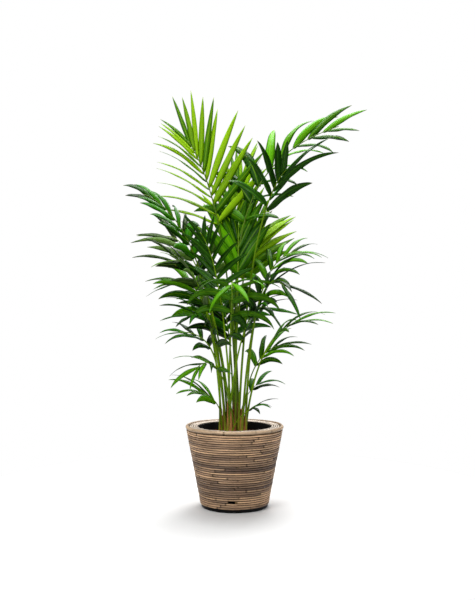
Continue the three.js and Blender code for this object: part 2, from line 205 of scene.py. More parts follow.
# --- Battens and ring board ----------------------------------------------------------------------
# Eight sawn battens lean with the wall behind the canes, and a plywood ring lies under the rim.
# The canes are nailed to them. They keep their CAD shapes, in plain sawn pine.

# Sawn pine: straight grain about 2 mm apart and a dull, open surface.
pine, tree = blank("sawn_pine")
where = node(tree, "TexCoord").outputs["Object"]
along = node(tree, "Mapping", {"Vector": where, "Scale": (60.0, 60.0, 3.0)}).outputs[0]
rings = node(tree, "TexNoise", {"Vector": along, "Scale": 8.0, "Detail": 5.0}).outputs["Fac"]
late = node(tree, "MapRange", [rings, 0.3, 0.7], **EASED).outputs[0]
wood = node(tree, "Mix", {0: late, 6: linear("#8a6740"), 7: linear("#b08c5c")}, **COLOURS)
skin = {
    "Base Color": wood.outputs[2],
    "Roughness": 0.75,
    "Normal": node(tree, "Bump", {"Height": rings, "Strength": 0.3, "Distance": 0.0004}).outputs[0],
}
shader = node(tree, "BsdfPrincipled", skin)
node(tree, "OutputMaterial", {"Surface": shader.outputs[0]})
for name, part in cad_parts.items():
    if name.startswith("batten_") or name == "rim_board":
        part.data.materials.clear()
        part.data.materials.append(pine)


# --- Cane wall -----------------------------------------------------------------------------------
# The wall is 34 rows of whole rattan cane about 8 mm thick, nailed round the battens. A row is two
# or three canes butted end to end. Canes swell at their nodes, vary in thickness and colour, and
# wander a little up and down, so that gaps show between them. Painted shade darkens each cane
# above, below and behind, and so the gaps between rows.
def sway(place, wave, seed, count=5):
    """Smooth noise of about -1..1: a sum of sines of place over wavelengths near wave."""
    pick = np.random.default_rng(seed)
    lengths = wave * pick.uniform(0.5, 2.0, count)
    phases = pick.uniform(0, 2 * np.pi, count)
    return np.sin(2 * np.pi * place[..., None] / lengths + phases).sum(-1) / np.sqrt(count * 2)


CANE_SIDES = 8


def bent_cane(radius, height, thick, start, end, tone, seed, shown=0.0):
    """A cane bent round the upright axis from the angle start to end, in radians.

    Its middle runs at the radius and height with a small sway, in rings 5 mm apart. Its section is
    a circle of half its thickness, times 1.1 at each node and falling to 0.7 in the last 2 mm at
    either end. Nodes are 70 to 230 mm apart. shown is the angle of its open side, 0 outwards and
    pi / 2 up; the finish paints shade on the sides turned away from it. Gives its points, and for
    each point its grain (run, cosine and sine of the angle from the open side), tone and dark mark.
    """
    pick = np.random.default_rng(seed)
    run = np.linspace(0, (end - start) * radius, max(4, int((end - start) * radius / (5 * MM))))
    nodes = np.cumsum(pick.uniform(70, 230, 16)) * MM - pick.uniform(0, 60) * MM
    swell = np.exp(-(((run[:, None] - nodes) / (1.8 * MM)) ** 2)).sum(-1)
    ring = np.exp(-(((run[:, None] - nodes - 2.2 * MM) / (1.7 * MM)) ** 2)).sum(-1)
    ends = np.minimum(run, run[-1] - run)
    taper = 0.7 + 0.3 * np.clip(ends / (2.0 * MM), 0, 1)
    half = thick / 2 * (1 + 0.05 * sway(run, 0.12, seed) + 0.10 * swell) * taper
    angle = start + run / radius
    middle = radius + 0.04 * thick * sway(run, 0.16, seed + 1)
    level = height + 0.05 * thick * sway(run, 0.20, seed + 2)
    side = np.linspace(0, 2 * np.pi, CANE_SIDES, endpoint=False) + np.pi / CANE_SIDES
    outward = middle[:, None] + half[:, None] * np.cos(side)
    points = stacked(
        outward * np.cos(angle)[:, None],
        outward * np.sin(angle)[:, None],
        level[:, None] - half[:, None] * np.sin(side),
    )
    place = (run + 7.0 * pick.random())[:, None]
    grain = stacked(place, np.cos(side + shown), np.sin(side + shown))
    marks = np.clip(ring + 0.9 * np.exp(-ends / (1.5 * MM)), 0, 1)
    shape = points.shape[:2]
    return points, grain, np.full(shape, tone), np.broadcast_to(marks[:, None], shape)


def after(start, faces):
    """Faces whose points follow start others."""
    return [[corner + start for corner in face] for face in faces]


def joined(canes):
    """Several canes as one set of points, faces and layers."""
    faces, count = [], 0
    for points, *_ in canes:
        faces += after(count, tube(*points.shape[:2]))
        count += points[..., 0].size
    flat = [[layer.reshape(-1, *layer.shape[2:]) for layer in cane] for cane in canes]
    points, grain, tone, mark = (np.concatenate(layer) for layer in zip(*flat))
    return points, faces, {"grain": grain, "tone": tone, "mark": mark}


def cane_finish(name, dull, fair, dark, gloss, painted_shade):
    """Rattan, scraped but unvarnished: fibre streaks along the cane, dark nodes and cut ends.

    Its sides turned away from its open side are painted with shade, as dark as the last argument,
    from 0 to 1.
    """
    material, tree = blank(name)
    grain = node(tree, "Attribute", attribute_name="grain").outputs["Vector"]
    tone = node(tree, "Attribute", attribute_name="tone").outputs["Fac"]
    mark = node(tree, "Attribute", attribute_name="mark").outputs["Fac"]
    facing = node(tree, "SeparateXYZ", [grain]).outputs[1]
    # Fibre streaks are 0.3 mm wide on the real cane. They are drawn about 1 mm wide to show.
    stretched = node(tree, "Mapping", {"Vector": grain, "Scale": (25.0, 2.6, 2.6)}).outputs[0]
    fibre = {"Vector": stretched, "Scale": 1.0, "Detail": 5.0, "Roughness": 0.65}
    streak = node(tree, "TexNoise", fibre).outputs["Fac"]
    clouded = node(tree, "Mapping", {"Vector": grain, "Scale": (9.0, 0.3, 0.3)}).outputs[0]
    cloud = node(tree, "TexNoise", {"Vector": clouded, "Scale": 1.0, "Detail": 2.0}).outputs["Fac"]
    aged = node(tree, "MapRange", [cloud, 0.35, 0.7, 0.0, 0.55], **EASED).outputs[0]
    lined = node(tree, "MapRange", [streak, 0.42, 0.72, 0.0, 0.6], **EASED).outputs[0]
    # Painted shade: the sides turned away from the open side, in the grooves between rows and under
    # the rim, go towards dark.
    shaded_sides = node(tree, "MapRange", [facing, 0.2, 0.96, painted_shade, 0.0], **EASED).outputs[0]
    marked = node(tree, "Math", [mark, 0.5], operation="MULTIPLY").outputs[0]
    rind = node(tree, "Mix", {0: tone, 6: linear(dull), 7: linear(fair)}, **COLOURS).outputs[2]
    for share, colour in ((aged, dull), (lined, dark), (shaded_sides, dark), (marked, dark)):
        layer = {0: share, 6: rind, 7: linear(colour)}
        rind = node(tree, "Mix", layer, **COLOURS).outputs[2]
    worn = [streak, 0.3, 0.7, gloss, gloss + 0.2]
    relief = {"Height": streak, "Strength": 0.4, "Distance": 0.0006}
    skin = {
        "Base Color": rind,
        "Roughness": node(tree, "MapRange", worn, **EASED).outputs[0],
        "Normal": node(tree, "Bump", relief).outputs[0],
    }
    shader = node(tree, "BsdfPrincipled", skin)
    node(tree, "OutputMaterial", {"Surface": shader.outputs[0]})
    return material


# The wall's canes are painted with shade almost to black on their sides above, below and behind.
wall_cane = cane_finish("rattan_cane", "#6a5240", "#ecc094", "#0c0603", 0.42, 0.95)

CANE = 8.2 * MM
BANDS = 8
ROWS = 34
FRONT = -np.pi / 2
WALL_FOOT_RADIUS = 129.5 * MM
WALL_TOP_RADIUS = 182.5 * MM
wall_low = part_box("cane_band_1")[0][2]
wall_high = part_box("cane_band_%d" % BANDS)[1][2]
pitch = (wall_high - wall_low) / ROWS
pick = np.random.default_rng(11)


def row_tone(share):
    """How fair a row is, by its share of the wall's height: two greyer belts on a tan wall."""
    upper = 0.85 * np.exp(-(((share - 0.58) / 0.08) ** 2))
    lower = 0.55 * np.exp(-(((share - 0.29) / 0.08) ** 2))
    return 0.78 - upper - lower


CANE_LENGTHS = (0.7, 1.3)  # lengths of a row's canes beside each other
SPRUNG_ROW = 3  # on this row one cane is cut short at the front and leaves a gap
SPRUNG_START = np.radians(-10)
SPRUNG_GAP = np.radians(14)
for number, rows in enumerate(np.array_split(np.arange(ROWS), BANDS), 1):
    canes = []
    for row in rows:
        height = wall_low + (row + 0.5) * pitch
        share = (row + 0.5) / ROWS
        radius = WALL_FOOT_RADIUS + (WALL_TOP_RADIUS - WALL_FOOT_RADIUS) * share - CANE / 2
        count = pick.integers(2, 4)
        cuts = pick.uniform(0, 2 * np.pi) + np.cumsum(pick.uniform(*CANE_LENGTHS, count))
        whole = cuts[-1] - cuts[0] + pick.uniform(*CANE_LENGTHS)
        cuts = cuts[0] + (cuts - cuts[0]) / whole * 2 * np.pi
        gaps = pick.uniform(0.3, 1.6, count) * MM / radius
        if row == SPRUNG_ROW:
            cuts = cuts - cuts[0] + FRONT + SPRUNG_START
            gaps[0] = SPRUNG_GAP
        for k in range(count):
            start = cuts[k] + gaps[k]
            end = cuts[k + 1] if k + 1 < count else cuts[0] + 2 * np.pi
            tone = np.clip(row_tone(share) + pick.uniform(-0.5, 0.4), 0, 1)
            thick = pitch * pick.uniform(0.82, 1.0)
            canes.append(bent_cane(radius, height, thick, start, end, tone, 100 * int(row) + k))
    points, faces, layers = joined(canes)
    band_name = "cane_band_%d" % number
    piece("cane_rows_%d" % number, points, faces, [wall_cane], [band_name], "cane", **layers)

# --- Rim -----------------------------------------------------------------------------------------
# One thick, pale cane binds the outer edge. Inside it four thinner rings of weathered cane lie on
# the ring board, down to the mouth. All are whole rattan, butted end to end.
# The rim canes are painted with lighter shade on the sides turned away from their open sides.
edge_cane = cane_finish("pale_rattan_cane", "#c0a07e", "#e8caa6", "#4a3521", 0.38, 0.6)
ring_cane = cane_finish("weathered_rattan_cane", "#d8c4b2", "#f6e6d4", "#2a1e14", 0.45, 0.6)

low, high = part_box("rim_edge_cane")
edge_half = (high[2] - low[2]) / 2
edge_radius = high[0] - edge_half
edge_level = high[2] - edge_half
EDGE_JOINTS = np.radians([-12.0, 48.0, 170.0, 348.0]) + FRONT
EDGE_TONES = (0.75, 0.45, 0.6)
EDGE_GAP = 0.5 * MM
canes = []
for k, tone in enumerate(EDGE_TONES):
    start, end = EDGE_JOINTS[k] + EDGE_GAP / edge_radius, EDGE_JOINTS[k + 1]
    size = (edge_radius, edge_level, 0.98 * 2 * edge_half)
    # Its upper outer side is left unshaded; painted shade darkens the rest.
    canes.append(bent_cane(*size, start, end, tone, 9001 + k, np.pi / 4))
points, faces, layers = joined(canes)
piece("rim_edge", points, faces, [edge_cane], ["rim_edge_cane"], "pale_cane", **layers)

RING_GAP = 1.0 * MM
for number in range(1, 5):
    ring_name = "rim_cane_%d" % number
    low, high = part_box(ring_name)
    half = (high[2] - low[2]) / 2 / np.cos(np.pi / 6)  # the CAD ring is a hexagon lying flat
    radius, level = high[0] - half, (low[2] + high[2]) / 2
    cuts = np.sort(pick.uniform(0, 2 * np.pi, 2))
    ends = (cuts[1], cuts[0] + 2 * np.pi)
    canes = []
    for k in range(2):
        start = cuts[k] + RING_GAP / radius
        tone = pick.uniform(0.2, 0.9)
        seed = 9100 + 10 * number + k
        # Their tops are left unshaded; painted shade darkens their sides and undersides.
        canes.append(bent_cane(radius, level, 2 * half, start, ends[k], tone, seed, np.pi / 2))
    points, faces, layers = joined(canes)
    piece("rim_ring_%d" % number, points, faces, [ring_cane], [ring_name], "cane", **layers)

# --- Inner pot -----------------------------------------------------------------------------------
# A black moulded pot stands on the base board inside the wall. Its rim lies just under the mouth,
# and about 30 mm of its inside shows above the soil.
low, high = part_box("inner_pot")
pot_low, pot_top, pot_outer = low[2], high[2], high[0]
POT_FOOT_RADIUS = 102 * MM
POT_WALL = 3 * MM
POT_EASE = 2 * MM


def pot_radius(height):
    """The pot's outside radius, on a straight line from its foot to its rim."""
    return np.interp(height, [pot_low, pot_top], [POT_FOOT_RADIUS, pot_outer])


lip = POT_WALL / 2
inside, pot_floor = POT_FOOT_RADIUS - POT_WALL, pot_low + POT_WALL
profile = np.concatenate(
    [
        [[POT_FOOT_RADIUS - POT_EASE, pot_low], [POT_FOOT_RADIUS, pot_low + POT_EASE]],
        arc(pot_outer - lip, pot_top - lip, lip, 0, 180, 7),
        [[inside, pot_floor + POT_EASE], [inside - POT_EASE, pot_floor]],
    ]
)
faces = tube(len(profile), ROUND_SIDES)
piece("pot", turned(profile), faces, [black_plastic], ["inner_pot"], "black_plastic")


# --- Soil ----------------------------------------------------------------------------------------
# Peaty potting soil, lumpy and dark red-brown, falls a little towards the pot's wall. Loose clods
# and bark chips lie on it.
def rough(points, wave, seed, count=12):
    """Smooth noise of about -1..1 over places: sines of wavelengths near wave in every direction."""
    pick = np.random.default_rng(seed)
    ways = pick.normal(size=(3, count))
    ways *= 2 * np.pi / (wave * pick.uniform(0.6, 1.6, count) * np.linalg.norm(ways, axis=0))
    return np.sin(points @ ways + pick.uniform(0, 2 * np.pi, count)).sum(-1) / np.sqrt(count / 2)


# Peat and composted bark: colour in crumbs of 2 to 6 mm, fully dull.
potting_soil, tree = blank("peaty_potting_soil")
where = node(tree, "TexCoord").outputs["Object"]
crumb = node(tree, "TexVoronoi", {"Vector": where, "Scale": 260.0}).outputs["Distance"]
patch = node(tree, "TexNoise", {"Vector": where, "Scale": 160.0, "Detail": 5.0}).outputs["Fac"]
barky = node(tree, "MapRange", [patch, 0.35, 0.65], **EASED).outputs[0]
edged = node(tree, "MapRange", [crumb, 0.5, 0.9, 0.0, 0.6], **EASED).outputs[0]
earth = node(tree, "Mix", {0: barky, 6: linear("#3c1c0e"), 7: linear("#7c4424")}, **COLOURS)
earth = node(tree, "Mix", {0: edged, 6: earth.outputs[2], 7: linear("#9c6238")}, **COLOURS)
skin = {
    "Base Color": earth.outputs[2],
    "Roughness": 0.95,
    "Normal": node(tree, "Bump", {"Height": crumb, "Strength": 0.9, "Distance": 0.002}).outputs[0],
}
shader = node(tree, "BsdfPrincipled", skin)
node(tree, "OutputMaterial", {"Surface": shader.outputs[0]})

low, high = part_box("soil")
soil_low, soil_top = low[2], high[2]
SOIL_FALL = 5 * MM
SOIL_FLAT = 95 * MM
SOIL_SLOPE = 40 * MM


def soil_fall(far):
    """How far the soil lies under its top: level to SOIL_FLAT from the middle, then a slope."""
    return SOIL_FALL * np.clip((far - SOIL_FLAT) / SOIL_SLOPE, 0, 1)


# The bed's profile runs out along its underside, up the pot's wall and in over its top, which is
# then roughened by waves of about 22 mm and 8 mm.
BED_RINGS = 44
inset = POT_WALL + 0.5 * MM
edge_of_soil = pot_radius(soil_top - SOIL_FALL) - inset
spread = np.linspace(1, 0.03, BED_RINGS) * edge_of_soil
profile = np.concatenate(
    [
        [[20 * MM, soil_low], [pot_radius(soil_low) - inset, soil_low]],
        stacked(spread, soil_top - soil_fall(spread)),
    ]
)
bed = turned(profile)
top = bed[2:]
top[..., 2] += 1.6 * MM * rough(top, 22 * MM, 3) + 0.9 * MM * rough(top, 8 * MM, 4) - 1.5 * MM

# A clod is a ball of four rings, squashed a little, with each point moved in or out by up to a
# fifth. Clods lie evenly over the bed, partly sunk in it.
CLODS = 240
CLOD_SIDES = 6
pick = np.random.default_rng(5)
turn = np.linspace(0, 2 * np.pi, CLOD_SIDES, endpoint=False)
rise = np.array([-0.85, -0.35, 0.35, 0.85])[:, None]
girth = np.sqrt(1 - rise**2)
ball = stacked(girth * np.cos(turn), girth * np.sin(turn), rise)
sizes = pick.uniform(1.5, 4.5, (CLODS, 1, 1, 1)) * pick.uniform(0.5, 1.2, (CLODS, 1, 1, 3)) * MM
far = edge_of_soil * 0.95 * np.sqrt(pick.random(CLODS))
way = pick.uniform(0, 2 * np.pi, CLODS)
spots = stacked(far * np.cos(way), far * np.sin(way), soil_top - 1 * MM - soil_fall(far))
lumps = 1 + 0.2 * pick.normal(size=(CLODS, len(rise), CLOD_SIDES, 1)).clip(-1, 1)
clods = ball * lumps * sizes + spots[:, None, None]
faces = tube(len(profile), ROUND_SIDES)
faces += after(bed[..., 0].size, tube(len(rise), CLOD_SIDES, CLODS))
points = np.concatenate([bed.reshape(-1, 3), clods.reshape(-1, 3)])
piece("soil_bed", points, faces, [potting_soil], ["soil"], "potting_soil")


# --- Stems ---------------------------------------------------------------------------------------
# Four young palms share the pot. Each has a short stem wrapped in old leaf sheaths: papery,
# orange-brown strips that split into ragged points between the green stalks.
def unit(vectors):
    """Vectors of length one, in the same directions."""
    return vectors / np.linalg.norm(vectors, axis=-1, keepdims=True)


# Dry leaf sheath: papery fibre about 1 mm wide, orange-brown fading to grey, with a dull sheen.
dry_sheath, tree = blank("dry_leaf_sheath")
grain = node(tree, "Attribute", attribute_name="grain").outputs["Vector"]
tone = node(tree, "Attribute", attribute_name="tone").outputs["Fac"]
stretched = node(tree, "Mapping", {"Vector": grain, "Scale": (18.0, 3.5, 3.5)}).outputs[0]
fibre = node(tree, "TexNoise", {"Vector": stretched, "Scale": 1.6, "Detail": 6.0}).outputs["Fac"]
lined = node(tree, "MapRange", [fibre, 0.45, 0.7, 0.0, 0.75], **EASED).outputs[0]
husk = node(tree, "Mix", {0: tone, 6: linear("#9a521a"), 7: linear("#eca860")}, **COLOURS)
husk = node(tree, "Mix", {0: lined, 6: husk.outputs[2], 7: linear("#3a2210")}, **COLOURS)
skin = {
    "Base Color": husk.outputs[2],
    "Roughness": 0.7,
    "Normal": node(tree, "Bump", {"Height": fibre, "Strength": 0.7, "Distance": 0.001}).outputs[0],
}
shader = node(tree, "BsdfPrincipled", skin)
node(tree, "OutputMaterial", {"Surface": shader.outputs[0]})

STEMS = {"left": (-40, 6), "front": (-12, -22), "back": (4, 28), "right": (27, -6)}  # x, y in mm
SHEATHS = 7
SHEATH_STEPS = 14
SHEATH_TOPS = {"left": 395, "front": 415, "back": 370, "right": 400}  # highest point of each, mm
CORE_SIDES = 16
ACROSS = np.array([1, 0.5, 0, -0.5, -1, -0.5, 0, 0.5])  # an eight-sided section, edge to edge
SKIN = np.array([0, 1, 1, 1, 0, -1, -1, -1])  # the upper skin, the lower skin and the two edges

# The core is a rod that tapers from 9 mm in radius. A sheath is a strip round it, 11 to 22 mm from
# its middle, that spans 34 degrees to either side at its foot. It leans a little, and narrows by
# 1 - u ^ 1.6 to a ragged point, where u is the share of its height. The first one is the tallest.
for number, (name, (x, y)) in enumerate(STEMS.items()):
    pick = np.random.default_rng(40 + number)
    low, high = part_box("stem_" + name)
    share = np.linspace(0, 1, CORE_SIDES)[:, None]
    side = np.linspace(0, 2 * np.pi, CORE_SIDES, endpoint=False)
    radius = (9 - 3.8 * share) * MM * (1 + 0.08 * sway(share, 0.3, number))
    level = low[2] + share * (high[2] - low[2])
    core = stacked(x * MM + radius * np.cos(side), y * MM + radius * np.sin(side), level)
    core_grain = stacked(level, np.cos(side), np.sin(side))
    u = np.linspace(0, 1, SHEATH_STEPS)[None, :, None]
    face_way = (np.arange(SHEATHS) * 2.4 + pick.uniform(-0.3, 0.3, SHEATHS))[:, None, None]
    tall = pick.uniform(0.35, 1.0, SHEATHS)[:, None, None]
    tall[0] = 1.0
    foot = soil_top - 4 * MM
    reach = SHEATH_TOPS[name] * MM - foot
    girth = (11 + 11 * np.linspace(0, 1, SHEATHS))[:, None, None] * MM * (1 - 0.25 * u)
    girth = girth + 5 * MM * u**3 * pick.uniform(-0.5, 1, (SHEATHS, 1, 1))
    ragged = 1 + 0.35 * pick.normal(size=(SHEATHS, SHEATH_STEPS, 1)).clip(-1, 1) * u
    half = np.radians(34) * (1 - u**1.6) * ragged + 0.02
    lean = 0.35 * (pick.random((SHEATHS, 1, 1)) - 0.5) * u
    turn = face_way + lean + half * ACROSS
    depth = girth + 0.5 * MM * SKIN
    level = foot + u * tall * reach
    strips = stacked(x * MM + depth * np.cos(turn), y * MM + depth * np.sin(turn), level)
    strip_grain = stacked(level, ACROSS, face_way)
    tones = np.broadcast_to(pick.uniform(0.1, 1.0, (SHEATHS, 1, 1)), strips.shape[:3])
    start = core[..., 0].size
    faces = tube(CORE_SIDES, CORE_SIDES)
    faces += after(start, tube(SHEATH_STEPS, len(ACROSS), SHEATHS))
    piece(
        "stem_sheaths_" + name,
        np.concatenate([core.reshape(-1, 3), strips.reshape(-1, 3)]),
        faces,
        [dry_sheath],
        ["stem_" + name],
        "husk",
        grain=np.concatenate([core_grain.reshape(-1, 3), strip_grain.reshape(-1, 3)]),
        tone=np.concatenate([np.full(start, 0.3), tones.ravel()]),
    )

# --- Fronds --------------------------------------------------------------------------------------
# Each frond is one green stalk that rises from the ring round a stem, bends over its shoulder and
# carries paired leaflets to its tip. Leaflets are leathery blades folded down along a midrib, with
# lengthwise veins. They hang further the older they are.
STEM_RING = 15  # mm from a stem's middle to the stalks round it

# Each frond has its stem and its angle round it; its shoulder and tip in mm; where its blade
# begins, as a share of its length; its pairs of leaflets, their length in mm on the left and right,
# and their width; how far the blade is rolled and its leaflets lifted, and their splay at its base
# and tip, in degrees; their droop and turn on the left and right; and the age that sets its colour.
FRONDS = [
    dict(name="top_left", stem="back", around=300, shoulder=(-50, 60, 1195), tip=(-185, 105, 1400),
         blade=0.69, pairs=11, leaf=(260, 340), wide=31, roll=66, lift=4, splay=(54, 8),
         droop=(0.25, 0.03), turn=(60, 0), age="spring"),
    dict(name="top_right", stem="back", around=0, shoulder=(-70, 100, 1300), tip=(395, 0, 1430),
         blade=0.6, pairs=8, leaf=(270, 190), wide=46, roll=-66, lift=10, splay=(66, 12),
         droop=(0.42, 0.5), turn=(0, 50), age="summer"),
    dict(name="left_high", stem="left", around=60, shoulder=(-150, 0, 1100), tip=(-335, -80, 1160),
         blade=0.62, pairs=7, leaf=(205, 190), wide=44, roll=50, splay=(60, 16),
         droop=(0.35, 0.55), age="shade"),
    dict(name="right_high", stem="right", around=210, shoulder=(85, -40, 1145),
         tip=(185, -170, 1235), blade=0.83, pairs=5, leaf=(310, 215), wide=42, roll=5, lift=28,
         splay=(54, 20), droop=(0.3, 0.25), turn=(0, -55), age="shade"),
    dict(name="back_right", stem="back", around=120, shoulder=(10, 80, 920), tip=(115, 170, 1055),
         blade=0.72, pairs=7, leaf=(250, 250), wide=38, roll=-60, lift=6, splay=(40, 10),
         droop=(0.14, 0.14), turn=(0, 30), age="spring"),
    dict(name="back_lime", stem="back", around=60, shoulder=(-40, 140, 1065), tip=(30, 250, 1295),
         blade=0.62, pairs=9, leaf=(280, 280), wide=34, splay=(34, 8), droop=(0.08, 0.08),
         age="spring"),
    dict(name="back_dark", stem="front", around=30, shoulder=(15, 10, 900), tip=(15, 90, 1075),
         blade=0.74, pairs=5, leaf=(250, 250), wide=46, splay=(32, 8), droop=(0.1, 0.1),
         age="summer"),
    dict(name="centre_dark", stem="front", around=90, shoulder=(-60, -95, 940),
         tip=(-120, -215, 1005), blade=0.64, pairs=8, leaf=(170, 165), wide=26, roll=5, lift=20,
         splay=(62, 16), droop=(0.2, 0.2), turn=(-45, -45), age="shade"),
    dict(name="left_mid", stem="back", around=180, shoulder=(-170, 50, 1090), tip=(-300, 90, 1010),
         blade=0.66, pairs=6, leaf=(200, 210), wide=36, roll=45, droop=(0.3, 0.3), age="silver"),
    dict(name="left_mid_low", stem="left", around=300, shoulder=(-140, -65, 970),
         tip=(-245, -150, 905), blade=0.64, pairs=6, leaf=(200, 200), wide=34, roll=35,
         droop=(0.36, 0.36), age="silver"),
    dict(name="left_low", stem="left", around=120, shoulder=(-120, 10, 915), tip=(-235, 60, 830),
         blade=0.68, pairs=5, leaf=(210, 210), wide=32, roll=30, droop=(0.44, 0.44),
         age="summer"),
    dict(name="right_mid", stem="right", around=330, shoulder=(90, 20, 955), tip=(250, 40, 960),
         blade=0.66, pairs=7, leaf=(190, 180), wide=30, roll=-35, droop=(0.45, 0.6),
         turn=(0, 20), age="summer"),
    dict(name="right_broad", stem="right", around=270, shoulder=(100, -60, 940),
         tip=(190, -160, 805), blade=0.64, pairs=5, leaf=(250, 250), wide=32, roll=-25,
         splay=(50, 12), droop=(0.35, 0.5), age="shade"),
    dict(name="front", stem="front", around=150, shoulder=(0, -150, 935), tip=(-10, -270, 800),
         blade=0.66, pairs=5, leaf=(215, 215), wide=32, splay=(75, 25), droop=(0.75, 0.75),
         age="summer"),
    dict(name="right_droop", stem="right", around=30, shoulder=(125, -5, 670),
         tip=(240, -60, 690), blade=0.74, pairs=3, leaf=(230, 230), wide=26, roll=-20,
         splay=(45, 12), droop=(0.42, 0.42), age="summer"),
    dict(name="left_droop", stem="left", around=0, shoulder=(-70, -50, 765),
         tip=(-170, -130, 710), blade=0.62, pairs=6, leaf=(190, 190), wide=30, roll=25,
         droop=(0.5, 0.5), age="shade"),
    dict(name="back_low", stem="back", around=240, shoulder=(-20, 65, 745), tip=(-70, 200, 800),
         blade=0.6, pairs=8, leaf=(230, 230), wide=36, droop=(0.4, 0.4), turn=(-40, -40),
         age="shade"),
    dict(name="left_small", stem="left", around=180, shoulder=(-50, 5, 655), tip=(-210, 20, 650),
         blade=0.7, pairs=4, leaf=(160, 160), wide=28, roll=20, droop=(0.5, 0.5), age="shade"),
    dict(name="right_low", stem="right", around=90, shoulder=(65, 10, 565), tip=(165, 20, 600),
         thick=3.4, blade=0.68, pairs=4, leaf=(190, 190), wide=26, roll=-25, splay=(50, 14),
         droop=(0.5, 0.5), age="summer"),
    dict(name="left_arch", stem="front", around=330, shoulder=(-70, -115, 610),
         tip=(-145, -180, 515), thick=3.2, blade=0.66, pairs=4, leaf=(160, 160), wide=26,
         roll=10, droop=(0.6, 0.6), age="summer"),
    dict(name="right_sprig", stem="right", around=150, shoulder=(35, 25, 425),
         tip=(105, 60, 460), thick=2.4, blade=0.74, pairs=2, leaf=(130, 130), wide=22, roll=-20,
         splay=(32, 12), droop=(0.5, 0.5), age="shade"),
    dict(name="front_sprig", stem="front", around=270, shoulder=(25, -55, 350),
         tip=(80, -95, 385), thick=2.4, blade=0.74, pairs=2, leaf=(115, 115), wide=18, roll=-20,
         splay=(32, 12), droop=(0.5, 0.5), age="shade"),
    dict(name="left_lowest", stem="left", around=240, shoulder=(-45, -20, 390),
         tip=(-120, -50, 430), thick=3, blade=0.64, pairs=3, leaf=(185, 185), wide=30, roll=25,
         splay=(38, 16), droop=(0.38, 0.38), age="summer"),
    dict(name="right_inner", stem="front", around=210, shoulder=(55, -45, 815),
         tip=(135, -120, 725), blade=0.62, pairs=6, leaf=(190, 190), wide=30, roll=-20,
         droop=(0.5, 0.5), age="shade"),
]
USUAL = dict(thick=4.6, taper=0.45, roll=0, lift=10, splay=(62, 16), turn=(0, 0))
DOWN = np.array([0.0, 0.0, -1.0])


def spun(vectors, axes, angles):
    """Vectors turned about unit axes by angles (Rodrigues' rule), on whole arrays."""
    cos, sin = np.cos(angles)[..., None], np.sin(angles)[..., None]
    onto = (vectors * axes).sum(-1, keepdims=True)
    return vectors * cos + np.cross(axes, vectors) * sin + axes * onto * (1 - cos)


def midrib(frond):
    """The frond's curve: a cubic Bezier from the soil, up towards its shoulder and over to its tip.

    Its first handle is a quarter of the way out to the shoulder and 0.55 of the way up to it, and
    its second is the shoulder. Gives a function from shares of its length to places and the axes
    along, up and side.
    """
    x, y = STEMS[frond["stem"]]
    angle = np.radians(frond["around"])
    base = [x + STEM_RING * np.cos(angle), y + STEM_RING * np.sin(angle), 0]
    base = np.array(base) * MM + [0, 0, soil_top + 0.3 * MM]
    shoulder = np.array(frond["shoulder"]) * MM
    tip = np.array(frond["tip"]) * MM
    rise = base + (shoulder - base) * [0.25, 0.25, 0.55]
    across = unit(np.cross((tip - shoulder) * [1, 1, 0], -DOWN))

    def curve(t):
        before = (1 - t) ** 3 * base + 3 * (1 - t) ** 2 * t * rise
        return before + 3 * (1 - t) * t**2 * shoulder + t**3 * tip

    steps = np.linspace(0, 1, 201)
    pieces = np.linalg.norm(np.diff(curve(steps[:, None]), axis=0), axis=1)
    lengths = np.concatenate([[0], np.cumsum(pieces)])

    def station(shares):
        t = np.interp(shares * lengths[-1], lengths, steps)[..., None]
        before = (1 - t) ** 2 * (rise - base) + 2 * (1 - t) * t * (shoulder - rise)
        along = unit(before + t**2 * (tip - shoulder))
        up = unit(np.cross(across, along))
        return curve(t), along, up, np.cross(along, up)

    return station


STALK_RINGS = 48
STALK_SIDES = 8


def stalk(frond, station):
    """The stalk and midrib: a round tube, widest at its sheathing foot and thinnest at its tip."""
    shares = np.linspace(0, 1, STALK_RINGS)
    at, along, up, side = station(shares)
    thick, blade = frond["thick"] * MM, frond["blade"]
    radius = np.interp(shares, [0, blade, 1], [thick, 0.62 * thick, 0.3 * thick])
    radius = radius * (1 + 0.45 * np.exp(-shares / 0.05))
    turn = np.linspace(0, 2 * np.pi, STALK_SIDES, endpoint=False)
    cos, sin = np.cos(turn), np.sin(turn)
    around = up[:, None] * cos[:, None] + side[:, None] * sin[:, None]
    return at[:, None] + radius[:, None, None] * around, stacked(cos, shares[:, None], sin)


LEAF_RINGS = 16
LEAF_PEAK = 0.422  # the highest value of the outline formula
LEAF_THICK = 0.45 * MM


